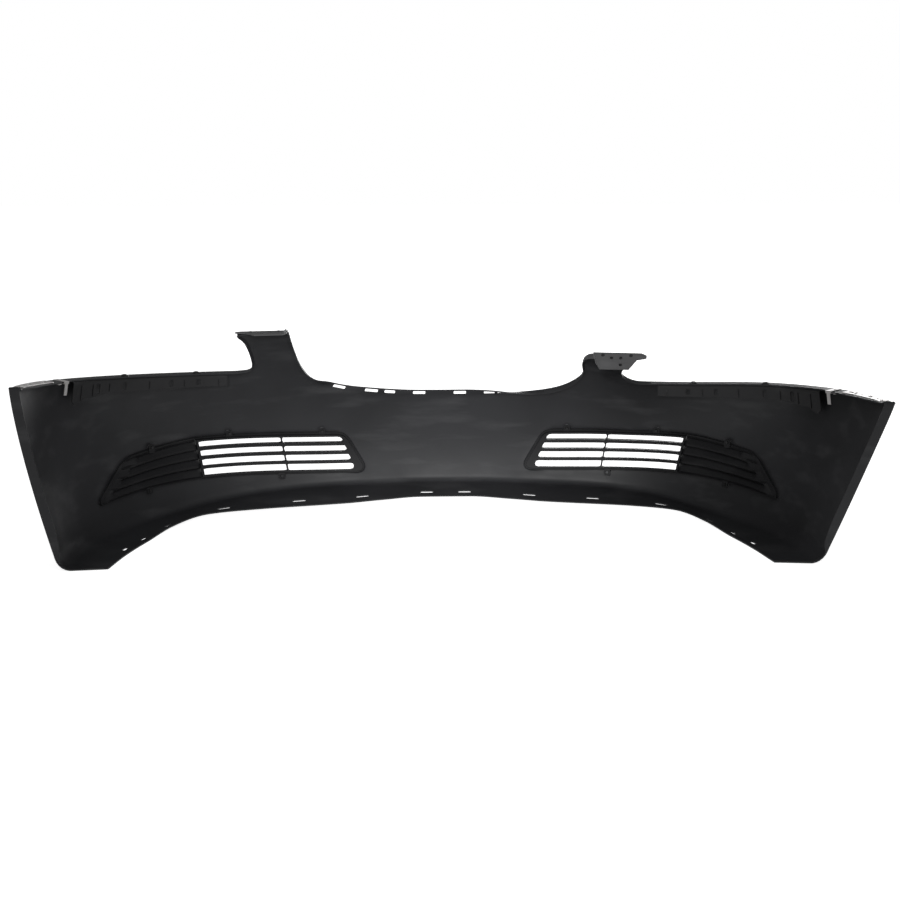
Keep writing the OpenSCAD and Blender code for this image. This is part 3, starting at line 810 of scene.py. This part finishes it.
def pulled_back(loop, amount):
    """The edge moved into the material by amount (mm), with its normals and outward ways."""
    p, _, out = edge_frame(loop)
    target = p - amount[:, None] * out
    new = loop.copy()
    for _ in range(4):
        _, du, ds = skin_frame(new[:, 0], new[:, 1])
        move = target - skin_point(new[:, 0], new[:, 1])
        aa, ab, bb = dot(du, du)[:, 0], dot(du, ds)[:, 0], dot(ds, ds)[:, 0]
        ma, mb = dot(move, du)[:, 0], dot(move, ds)[:, 0]
        det = aa * bb - ab * ab
        new = new + np.stack([(ma * bb - mb * ab) / det, (mb * aa - ma * ab) / det], 1)
    _, n, out = edge_frame(new)
    return new, n, out


def lip_reach(outs, ways, widths):
    """How far a lip goes, measured along its bend and its flat part."""
    theta = np.arccos(np.clip(dot(ways, outs)[:, 0], -1, 1))
    return theta, BEND * theta + np.maximum(widths - BEND, 0)


def lip_strip(base, outs, ways, widths, spacing, holes):
    """A strip that grows from a line, bends by BEND from its outward way to its final way and
    runs on to its width. It is cut flat by length and reach, with holes in it."""
    along = lengths(base)
    rise = unit(ways - dot(ways, outs) * outs)
    theta, reach = lip_reach(outs, ways, widths)
    top = np.stack([along, reach], 1)[::-1]
    keep = np.concatenate([[True], np.linalg.norm(np.diff(top, axis=0), axis=1) > 1e-6])

    def end(i):
        return [(along[i], y) for y in np.arange(spacing, reach[i] - spacing * 0.5, spacing)]

    bottom = np.stack([along, 0 * along], 1)
    loop = np.array(list(bottom) + end(-1) + list(top[keep]) + end(0)[::-1])
    points, tris = triangulated([loop] + holes, spacing, 0.45)

    def blend(v):
        return np.stack([np.interp(points[:, 0], along, v[:, k]) for k in range(v.shape[1])], 1)

    theta = blend(theta[:, None])[:, 0]
    phi = np.minimum(points[:, 1] / BEND, theta)
    flat = np.maximum(points[:, 1] - BEND * theta, 0)
    forth = (BEND * np.sin(phi) + flat * np.cos(theta))[:, None]
    up = (BEND * (1 - np.cos(phi)) + flat * np.sin(theta))[:, None]
    return blend(base) + forth * blend(outs) + up * blend(rise), tris


# Windows in the middle strip: how far their pattern lies to the left, their lower edge's height
# up the strip, and the bar above them. Each has a place along the strip and a length.
WINDOW_SHIFT, WINDOW_FOOT, WINDOW_BAR = -16, 2.6, 2.4
WINDOWS = [(side * x + WINDOW_SHIFT, length) for side in SIDES
           for x, length in ((49, 30), (121, 26), (160, 32), (239, 32))]
UNDER_SLOTS = (0.046, 0.19, 0.33, 0.47, 0.61, 0.71, 0.82)


def under_slot_loops():
    """Slots through the underside, flat."""
    out = []
    for side in SIDES:
        for u in UNDER_SLOTS:
            # Smaller ones under the wings
            s, length, width = (0.2, 26, 9) if u > 0.5 else (0.3, 34, 12)
            at = np.array([side * u]), np.array([s])
            _, du, ds = skin_frame(*at)
            stretch = [np.linalg.norm(du) / U_SCALE, np.linalg.norm(ds) / S_PLACES[2]]
            out.append(to_flat(*at)[0] + stadium((0, 0), length, width, 4) / np.array(stretch))
    return out


def lipped_edge(spacing):
    """The skin's edge, moved in to where its lips begin to bend: a mask of the lipped points,
    their (u, s), places, outward ways, lip directions and lip widths."""
    runs = skin_edges(spacing)
    loop = np.vstack([points for _, points in runs])
    names = np.concatenate([[name] * len(points) for name, points in runs])
    plain = names == "belly"
    p, n, out = edge_frame(loop)
    amount = np.zeros(len(loop))
    for name in dict.fromkeys(names):
        k = names == name
        way = unit(lip_plan(name, loop[k, 0], loop[k, 1], p[k], n[k], out[k])[0])
        turn = np.arccos(np.clip(dot(way, out[k])[:, 0], -1, 1))
        flat_topped = name in ("shelf", "top")
        amount[k] = (BEND * np.tan(turn / 2) + EDGE_STEP / np.sin(turn) if flat_topped
                     else BEND * np.minimum(np.tan(turn / 2), 1))
    amount = np.where((names == "arch") & (loop[:, 1] < ARCH_LIP_START), 0, amount)
    amount[plain] = 0
    amount = smooth_along(amount, 2)
    amount[plain] = 0
    us, n, out = pulled_back(loop, amount)
    us[plain] = loop[plain]
    p = skin_point(us[:, 0], us[:, 1])
    ways, widths = np.zeros_like(p), np.zeros(len(p))
    for name in dict.fromkeys(names):
        k = names == name
        ways[k], widths[k] = lip_plan(name, us[k, 0], us[k, 1], p[k], n[k], out[k])
    return ~plain, us, p, out, unit(smooth_along(ways, 3)), smooth_along(widths, 2)


def grille_openings():
    """The two openings' edges, moved back by the radius of their rims: that radius, the
    edge's (u, s), its inward normals and its ways towards the opening."""
    openings = []
    for side in SIDES:
        us = edge_points(side, drooped(opening_edge()))[::side]
        # Turned back, because an edge's outward way is to its right
        us = run(np.vstack([us, us[:1]]), 6)[:-1][::-1]
        radius = 2.5 + 3.6 * ease((258 - abs(skin_point(us[:, 0], us[:, 1])[:, 0])) / 40)
        openings.append((radius[:, None], *pulled_back(us, radius)))
    return openings


def lip_windows(line, reach):
    """The windows in the middle strip, as loops of length and reach. Each leaves a low bar
    above it."""
    along = lengths(line)
    windows = []
    for x, length in WINDOWS:
        z = float(np.interp(abs(x), *spline(GRILLE_EDGE, 8).T))
        middle = along[np.argmin(np.linalg.norm(line - front(x, z), axis=1))]
        a, b = middle - length / 2, middle + length / 2
        tops = np.interp([a, b], along, reach) - WINDOW_BAR
        windows.append(rounded([(a, WINDOW_FOOT), (b, WINDOW_FOOT), (b, tops[1]), (a, tops[0])], 2.5, 3))
    return windows


def rim(radius, us, n, out):
    """The rolled rim of an opening: points and faces."""
    p = skin_point(us[:, 0], us[:, 1])
    rows = [p]
    for k in range(1, 6):
        phi = math.radians(88) * k / 5
        rows.append(p + radius * (math.sin(phi) * out + (1 - math.cos(phi)) * n))
    rows.append(rows[-1] + (RIM_DEPTH - radius) * n)
    return np.vstack(rows), [face[::-1] for face in strip_faces(len(rows), len(p), closed=True)]


def build_skin():
    """One sheet, made solid: the face and underside, the lips and the openings' rims."""
    sheet = Sheet()
    lipped, us, base, out, ways, widths = lipped_edge(9)
    openings = grille_openings()
    holes = [to_flat(back[:, 0], back[:, 1]) for _, back, _, _ in openings]
    flat, tris = triangulated([to_flat(us[:, 0], us[:, 1])] + holes + under_slot_loops(), 10)
    sheet.add(skin_point(*from_flat(flat)), tris)

    lip = np.arange(int(np.argmax(lipped)), len(base))
    _, reach = lip_reach(out[lip], ways[lip], widths[lip])
    points, tris = lip_strip(base[lip], out[lip], ways[lip], widths[lip], 4.5,
                             lip_windows(base[lip], reach))
    sheet.add(points, tris[:, ::-1])
    for opening in openings:
        sheet.add(*rim(*opening))
    return finished(sheet.solid("skin_moulding", WALL, to_inside, join=0.02), SKIN, 0.5, 45)


# ---- Places on the cover ----


def at_post(obj, side, post):
    """Stands an object on the face at a screw post."""
    x, z = side * post[0], post[1] - float(droop(post[0], post[1]))
    return placed(obj, front(x, z), front(x + 1, z) - front(x - 1, z), front_normal(x, z))


# Screw posts: x, height, and which way the panel's tab comes to it
GRILLE_POSTS = [(300, GRILLE_HIGH + 14, 1), (520, GRILLE_HIGH + 14, 1), (400, GRILLE_LOW - 14, -1)]
BLANK_POSTS = [(690, GRILLE_HIGH + 14, 1), (690, GRILLE_LOW - 14, -1)]
POST_DEPTH = 10


def build_posts():
    """Screw posts with a root fillet, moulded on the skin's inner face."""
    posts = []
    for side in SIDES:
        for q in GRILLE_POSTS + BLANK_POSTS:
            o = lathe("post", [(0.1, 1.5), (7.5, 1.5), (7.2, 3.2), (5.6, 3.7), (4.8, 4.8), (4.5, 6.5),
                               (4.5, POST_DEPTH - 0.3), (4.2, POST_DEPTH), (0.1, POST_DEPTH)])
            posts.append(at_post(o, side, q))
    return finished(joined("skin_posts", posts), SKIN, 0)


def tabs(side, posts):
    out = []
    for q in posts:
        low, high = (-14, 7) if q[2] > 0 else (-7, 14)
        outline = rounded([(-8, low), (8, low), (8, high), (-8, high)], 3)
        o = plate("tab", outline, [circle((0, 0), 2.2, 14)[::-1]], 2.5, 4)
        o.data.transform(Matrix.Translation((0, 0, (POST_DEPTH + 0.1) * MM)))
        out.append(at_post(o, side, q))
    return out


def slot(corners, radii):
    """A slot's outline of (x, z), rounded, respaced, drooped and turned clockwise."""
    p = rounded(corners, radii, 4)
    return drooped(evenly(np.vstack([p, p[:1]]), 7)[:-1])[::-1]


def flange(side, edge):
    """A flat flange along a panel's edge, which laps over the rim of the opening."""
    t = unit(np.gradient(edge, axis=0))
    out = np.stack([t[:, 1], -t[:, 0]], 1)
    # Wider along the outer end, where it closes the step between the pads and the rim
    x, z = edge[:, :1], edge[:, 1:]
    wide = ease((x - outer_end(z) + 4) / 3) * ease((z - GRILLE_LOW) / 8) * ease((GRILLE_HIGH - z) / 8)
    rows = [drooped(edge + reach * out) for reach in (-2.2 - 9 * wide, 0.8, 3.8 + 5 * wide)]
    x, z = (np.vstack(rows) * (side, 1)).T
    s = Sheet()
    s.add(front(x, z) + (RIM_DEPTH + 0.1) * front_normal(x, z), strip_faces(len(rows), len(edge)))
    return s.solid("flange", 2.2, to_inside)


def build_grille(side):
    """A panel with two columns of four slots, its flange and its screw tabs."""
    edge = panel_edge(False)
    outline = drooped(evenly(np.vstack([edge, edge[:1]]), 6)[:-1])
    slots = []
    for r in range(4):
        a, b = GRILLE_LOW + r * PITCH, GRILLE_LOW + r * PITCH + SLOT
        inner, foot = (12, 3) if r == 3 else (3.5, 2.5)
        slots.append(slot([
            (grille_inner(a), a), (grille_rib(a) - HALF_RIB, a),
            (grille_rib(b) - HALF_RIB, b), (grille_inner(b), b),
        ], [6 if r == 0 else foot, 1, 1, inner]))
        slots.append(slot([
            (grille_rib(a) + HALF_RIB, a), (grille_split(a), a),
            (grille_split(b), b), (grille_rib(b) + HALF_RIB, b),
        ], 1))
    points, tris = triangulated([outline] + slots, 7)
    x, z = side * points[:, 0], points[:, 1]
    s = Sheet()
    s.add(front(x, z) + 1.2 * front_normal(x, z), tris)
    body = s.solid("slats", SLAT_DEPTH, to_inside)
    whole = joined(f"air_grille_{SIDES[side]}", [body, flange(side, edge)] + tabs(side, GRILLE_POSTS))
    return finished(whole, GRILLE, 0.7, 40)


# Where each louvre ends, and how far the louvres' crests and valleys lie behind the face
BLANK_ENDS = (768, 753, 738, 723)
VALLEY, CREST = 14, 5


def build_blank(side):
    """Four closed louvres with a stepped outer end, as one corrugated sheet."""
    steps, rows = 44, 12
    z = [GRILLE_LOW + r * PITCH - 1 + PITCH * k / rows for r in range(4) for k in range(rows)]
    z = np.array([GRILLE_LOW - FRAME + 0.3] + z + [GRILLE_HIGH + 1.5, GRILLE_HIGH + FRAME - 0.3])
    zz, tt = np.meshgrid(z, np.linspace(0, 1, steps + 1))
    start = grille_split(zz) + FRAME + 0.8
    end = outer_end(zz) - 0.6
    x = mix(start, end, tt)

    # One louvre rises slowly to its crest and falls back quickly
    louvre = np.clip(((zz - GRILLE_LOW + 1) / PITCH).astype(int), 0, 3)
    local = np.clip((zz - GRILLE_LOW + 1 - louvre * PITCH) / PITCH, 0, 1)
    crest_at = 0.72
    depth = np.where(local < crest_at, mix(VALLEY, CREST, local / crest_at),
                     mix(CREST, VALLEY, ease((local - crest_at) / 0.2)))
    inside = ease((zz - GRILLE_LOW + 2.5) / 1.5) * ease((GRILLE_HIGH + 1.5 - zz) / 1.5)
    depth = mix(RIM_DEPTH + 1.4, depth, inside * ease((x - start - 1) / 3))

    # Beyond its end a flat pad climbs to the rim, with a groove between one pad and the next
    stop = np.array(BLANK_ENDS)[louvre]
    groove = 3 * ease((1.5 - abs(local * PITCH - PITCH)) / 1.2)
    pad = mix(VALLEY, RIM_DEPTH, clip((x - stop) / (end - stop + 1e-9))) + groove
    depth = mix(depth, pad, ease((x - stop + 4) / 6) * inside)
    xs, zs = side * x, zz - droop(x, zz)
    p = front(xs, zs) + depth[..., None] * front_normal(xs, zs)
    s = Sheet()
    s.add(p.reshape(-1, 3), strip_faces(steps + 1, len(z)))
    body = s.solid("louvres", 2.5, to_inside)
    whole = joined(f"louvred_blank_{SIDES[side]}",
                   [body, flange(side, panel_edge(True))] + tabs(side, BLANK_POSTS))
    return finished(whole, GRILLE, 0.4, 50)


# ---- Brackets and rails along the shelf ----


def shelf_base(side, k, across, up=0.0):
    """Points of the shelf line at stations k, moved inwards along it and up from it."""
    u = side * shelf_u(k)
    p, n = face(u, shelf(u)), shelf_normal(u)
    t = side * unit(face(side * (shelf_u(k) + 0.004), shelf(u + side * 0.004))
                    - face(side * (shelf_u(k) - 0.004), shelf(u - side * 0.004)))
    return p + np.asarray(across)[..., None] * n + np.asarray(up)[..., None] * unit(np.cross(n, t))


# Stations of the bracket's ends, its windows as (part of its length, width), and its ribs
BRACKET_STATIONS = 1, 15
BRACKET_WINDOWS = ((0.17, 10), (0.33, 9), (0.62, 9), (0.8, 10))
BRACKET_RIBS = (0.05, 0.25, 0.46, 0.72, 0.84, 0.93)
# A place above and behind the shelf, which the bracket's upper side faces
ABOVE_SHELF = np.array([0, -300, 520])


def build_bracket(side):
    """A strip under the shelf lip with a web that hangs at its rear edge: windows, ribs and a
    hooked outer end."""
    k = np.linspace(*BRACKET_STATIONS, 91)
    along = lengths(shelf_base(side, k, np.full(len(k), 25.0)))
    length = along[-1]
    bend, strip = 3.0, 20.5
    quarter = bend * np.pi / 4

    def reach(a):
        """How far the sheet goes: over its strip, then down its web to the lower edge, which
        drops at the hook."""
        end = (a - (length - 44)) / 44
        web = mix(26, 32, ease(a / (0.7 * length))) + 8 * ease((a / length - 0.72) / 0.14)
        return strip + web + 14 * ease(end * 1.4) - 9 * ease((end - 0.8) / 0.2)

    a = np.linspace(0, length, 120)
    loop = np.array([(x, 0) for x in a] + [(length, y) for y in np.arange(6, reach(length) - 3, 6)]
                    + [(x, reach(x)) for x in a[::-1]] + [(0, y) for y in np.arange(reach(0) - 6, 3, -6)])
    holes = []
    for part, width in BRACKET_WINDOWS:
        a, b = length * part - width / 2, length * part + width / 2
        top, low = strip + 8, float(reach(length * part)) - 6
        holes.append(rounded([(a, top), (b, top), (b, low), (a, low)], 2, 3))
    points, tris = triangulated([loop] + [h[::-1] for h in holes], 5)
    at = np.interp(points[:, 0], along, k)
    r = points[:, 1]
    phi = np.clip((r - strip + quarter) / bend, 0, np.pi / 2)
    drop = np.maximum(r - strip - quarter, 0)
    across = 4.5 + np.minimum(r, strip - quarter) + bend * np.sin(phi)
    up = -(WALL + EDGE_STEP + 0.1) - bend * (1 - np.cos(phi)) - drop
    s = Sheet()
    s.add(shelf_base(side, at, across, up), tris)
    pieces = [s.solid("bracket_sheet", -2.5, lambda p: ABOVE_SHELF - p)]
    for part in BRACKET_RIBS:
        station = float(np.interp(length * part, along, k))
        high = float(reach(length * part)) - strip
        profile = [(25.2, -8), (27.6, -11), (27.6, -high + 4), (25.2, -high + 1)]
        points = [shelf_base(side, np.float64(station + d), np.float64(y), np.float64(z - 3.9))
                  for d in (-0.035, 0.035) for y, z in profile]
        sides = [[i, i + 4, (i + 1) % 4 + 4, (i + 1) % 4] for i in range(4)]
        pieces.append(mesh_object("rib", np.array(points), [[0, 1, 2, 3], [7, 6, 5, 4]] + sides))
    return finished(joined(f"shelf_bracket_{SIDES[side]}", pieces), BRACKET, 0.5, 45)


# First and last station, then the rivets, bolt holes and slots by station
RAIL_FIRST, RAIL_LAST, RAIL_INSET = 18, 25, 18
RIVET_STATIONS, BOLT_STATIONS, SLOT_STATIONS = (19.5, 24.5), (20.5, 23.5), (18.8, 22)


def build_rail(side):
    """A pressed strip on the wing's flange, with rivet holes, bolt holes and slots."""
    k = np.linspace(RAIL_FIRST, RAIL_LAST, 60)
    along = lengths(shelf_base(side, k, np.full(len(k), float(RAIL_INSET))))
    length = along[-1]

    def place(station):
        return float(np.interp(station, k, along)), RAIL_INSET

    def top(a):
        """The rail narrows with its flange near the outer end."""
        return np.interp(np.interp(a, along, k), [22.5, 24], [30, 26])

    a = np.linspace(0, length, 50)
    loop = np.array([(x, 6) for x in a[1:-1]] + [(length, 9), (length, top(length) - 3)]
                    + [(x, top(x)) for x in a[1:-1][::-1]] + [(0, top(0) - 3), (0, 9)])
    holes = [circle(place(station), 2.1, 12) for station in RIVET_STATIONS]
    holes += [circle(place(station), 3.3, 18) for station in BOLT_STATIONS]
    holes += [stadium(place(station), 22, 6, 5) for station in SLOT_STATIONS]
    points, tris = triangulated([loop] + [h[::-1] for h in holes], 5)
    s = Sheet()
    at = np.interp(points[:, 0], along, k)
    s.add(shelf_base(side, at, points[:, 1], np.full(len(points), 0.12 - EDGE_STEP)), tris)
    return finished(s.solid(f"flange_rail_{SIDES[side]}", 1.2, lambda p: (0, 0, 1)), ZINC, 0.25, 45)


# ---- The object ----


def dress(node, material, bevel):
    """A CAD node that stays: its material, and a small bevel on its edges."""
    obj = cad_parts[node]
    if not obj.data.materials:
        obj.data.materials.append(None)
    for i in range(len(obj.material_slots)):
        obj.material_slots[i].material = material
    add_bevel(obj, bevel, 30)


def put(obj, node):
    """A piece made here that stands for a CAD node."""
    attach(obj, ROOT)
    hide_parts(node)


skin = build_skin()
put(skin, "skin")
posts = build_posts()
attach(posts, ROOT)
for side, name in SIDES.items():
    put(build_grille(side), f"lower_grille_{name}")
    put(build_blank(side), f"fog_blank_{name}")
    put(build_bracket(side), f"headlamp_bracket_{name}")
    put(build_rail(side), f"wing_rail_{name}")
    dress(f"horn_plate_{name}", PLATE, 0.4)
    for part in ("rail_rivets", "corner_clip"):
        dress(f"{part}_{name}", ZINC, 0.15)
    for part in ("horn_rivets", "grille_screws", "blank_screws"):
        dress(f"{part}_{name}", BLACKED, 0.15)
    for place in ("inner", "outer"):
        dress(f"retainer_body_{name}_{place}", RETAINER, 0.2)
        dress(f"retainer_pin_{name}_{place}", RETAINER, 0.2)


# ---- Floor, light and camera ----


def white_backdrop(tree, socket, lighting, seen):
    """Sets a strength: one for the light that falls on the cover, one for what is seen."""
    rays, strength = tree.nodes.new("ShaderNodeLightPath"), tree.nodes.new("ShaderNodeMapRange")
    strength.inputs["To Min"].default_value = lighting
    strength.inputs["To Max"].default_value = seen
    tree.links.new(rays.outputs["Is Camera Ray"], strength.inputs["Value"])
    tree.links.new(strength.outputs["Result"], socket)


def build_stage():
    paper = plastic("floor", (0.93, 0.93, 0.93), 0.8, mottle=0.01, grain=0.02, scuffs=0.0, specular=0.1)
    shader = principled(paper)
    shader.inputs["Emission Color"].default_value = (1, 1, 1, 1)
    white_backdrop(paper.node_tree, shader.inputs["Emission Strength"], 0.357, 0.85)
    w = 9000
    floor = mesh_object("floor", [(-w, -w, 0), (w, -w, 0), (w, w, 0), (-w, w, 0)], [(0, 1, 2, 3)])
    floor.location.z = -0.0005
    floor.data.materials.append(paper)


def aimed(name, data, place, target):
    """Puts a light or camera in the scene, looking from place to target (m)."""
    obj = bpy.data.objects.new(name, data)
    obj.location = place
    obj.rotation_euler = (Vector(target) - Vector(place)).to_track_quat("-Z", "Y").to_euler()
    bpy.context.scene.collection.objects.link(obj)
    return obj


def soft_light(name, place, target, size, power):
    light = bpy.data.lights.new(name, "AREA")
    light.shape, light.size, light.size_y, light.energy = "RECTANGLE", size[0], size[1], power
    aimed(name, light, place, target).visible_camera = False


def spot_light(name, place, target, degrees, power):
    light = bpy.data.lights.new(name, "SPOT")
    light.spot_size, light.spot_blend = math.radians(degrees), 1.0
    light.shadow_soft_size, light.energy = 0.3, power
    aimed(name, light, place, target)


def build_world():
    world = bpy.data.worlds.new("studio")
    world.use_nodes = True
    background = world.node_tree.nodes["Background"]
    background.inputs["Color"].default_value = (1, 1, 1, 1)
    white_backdrop(world.node_tree, background.inputs["Strength"], 0.22, 1.0)
    bpy.context.scene.world = world


def build_camera():
    azimuth, elevation, distance = math.radians(-2.2), math.radians(12), 4.4
    target = Vector((0, 0, 0.2035))
    back = Vector((math.sin(azimuth) * math.cos(elevation), -math.cos(azimuth) * math.cos(elevation),
                   math.sin(elevation)))
    camera = bpy.data.cameras.new("camera")
    camera.lens, camera.sensor_width = 77.5, 36
    camera.clip_end = 100
    bpy.context.scene.camera = aimed("camera", camera, target + distance * back, target)


build_stage()
build_world()
soft_light("overhead", (0, -0.4, 3.0), (0, 0.1, 0.2), (3.0, 1.6), 14)
soft_light("back_right", (1.3, 4.0, 0.6), (0.5, 0, 0.36), (2.9, 1.2), 66)
soft_light("high_left", (0.5, -2.6, 2.4), (-0.4, 0.2, 0.36), (0.5, 0.5), 12)
spot_light("key", (-0.6, -4.8, 1.7), (-0.04, 0.36, 0.22), 16, 1000)
build_camera()
bpy.context.scene.view_settings.view_transform = "Standard"
